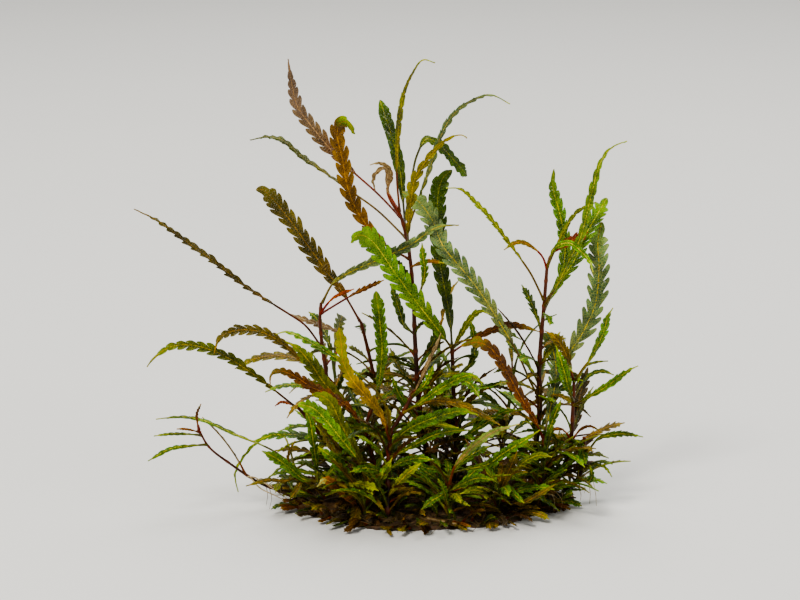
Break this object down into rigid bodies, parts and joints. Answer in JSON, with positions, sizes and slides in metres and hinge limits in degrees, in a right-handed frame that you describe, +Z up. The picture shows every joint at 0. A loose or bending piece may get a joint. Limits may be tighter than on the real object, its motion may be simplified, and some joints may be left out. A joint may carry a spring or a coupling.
{
  "type": "hygrophila pinnatifida plant",
  "caption": "Bushy underwater plant with long lobed leaves on upright stems, growing from a creeping rhizome mat cut flat underneath.",
  "frame": {"origin": "middle of the flat cut under the rhizome mat", "axes": "+Z up the stems, +X to the right as the plant is seen from its front, -Y towards the viewer"},
  "size_m": [0.2459, 0.1705, 0.2251],
  "materials": {
    "leaf_bright_green": "satin, wet",
    "leaf_dark_green": "satin, wet",
    "leaf_green": "satin, wet",
    "leaf_grey_green": "satin, wet",
    "leaf_lime": "satin, wet",
    "leaf_mauve": "satin, wet",
    "leaf_ochre": "satin, wet",
    "leaf_olive": "satin, wet",
    "leaf_rust": "satin, wet",
    "rhizome_brown": "matt, fibrous",
    "shoot_green": "satin, wet",
    "stem_red_brown": "satin, wet"
  },
  "bodies": {
    "root": {"leaf_amber_front": "leaf_ochre", "leaf_arched_top_right": "leaf_grey_green", "leaf_bright_broad": "leaf_bright_green", "leaf_bright_far_right": "leaf_bright_green", "leaf_bright_low_left": "leaf_bright_green", "leaf_bright_low_right": "leaf_bright_green", "leaf_bright_right": "leaf_bright_green", "leaf_brown_centre": "leaf_rust", "leaf_dark_top": "leaf_dark_green", "leaf_dark_upright": "leaf_dark_green", "leaf_far_right_tall": "leaf_lime", "leaf_fern_left": "leaf_green", "leaf_fern_right": "leaf_green", "leaf_green_front": "leaf_green", "leaf_green_front_right": "leaf_green", "leaf_green_mid": "leaf_green", "leaf_green_right": "leaf_green", "leaf_hanging_dark": "leaf_dark_green", "leaf_hooked_front": "leaf_bright_green", "leaf_lime_high_left": "leaf_bright_green", "leaf_long_left": "leaf_olive", "leaf_long_low_left": "leaf_olive", "leaf_mauve_tall": "leaf_mauve", "leaf_ochre_tall": "leaf_ochre", "leaf_olive_left": "leaf_olive", "leaf_olive_low_left": "leaf_olive", "leaf_olive_mid_left": "leaf_olive", "leaf_orange_right": "leaf_rust", "leaf_pale_front": "leaf_lime", "leaf_rust_left": "leaf_rust", "leaf_rust_mid_left": "leaf_rust", "leaf_rust_right": "leaf_rust", "leaf_sage_inner_right": "leaf_grey_green", "leaf_sage_left": "leaf_grey_green", "leaf_sage_long": "leaf_grey_green", "leaf_sage_right": "leaf_grey_green", "leaf_slender_right": "leaf_lime", "leaf_slender_top": "leaf_olive", "leaf_thin_high_left": "leaf_lime", "leaf_yellow_gappy": "leaf_ochre", "rhizome_mat": "rhizome_brown", "runner_left": "stem_red_brown", "shoot_back_centre": "shoot_green", "shoot_back_left": "shoot_green", "shoot_back_right": "shoot_green", "shoot_front_left": "shoot_green", "shoot_front_right": "shoot_green", "shoot_low_left": "shoot_green", "shoot_low_right": "shoot_green", "stem_back_left": "stem_red_brown", "stem_behind_centre": "stem_red_brown", "stem_centre": "stem_red_brown", "stem_front": "stem_red_brown", "stem_left_inner": "stem_red_brown", "stem_left_red": "stem_red_brown", "stem_mid_left": "stem_red_brown", "stem_right_inner": "stem_red_brown", "stem_right_low": "stem_red_brown", "stem_right_outer": "stem_red_brown", "stem_right_tall": "stem_red_brown"}
  },
  "joints": []
}
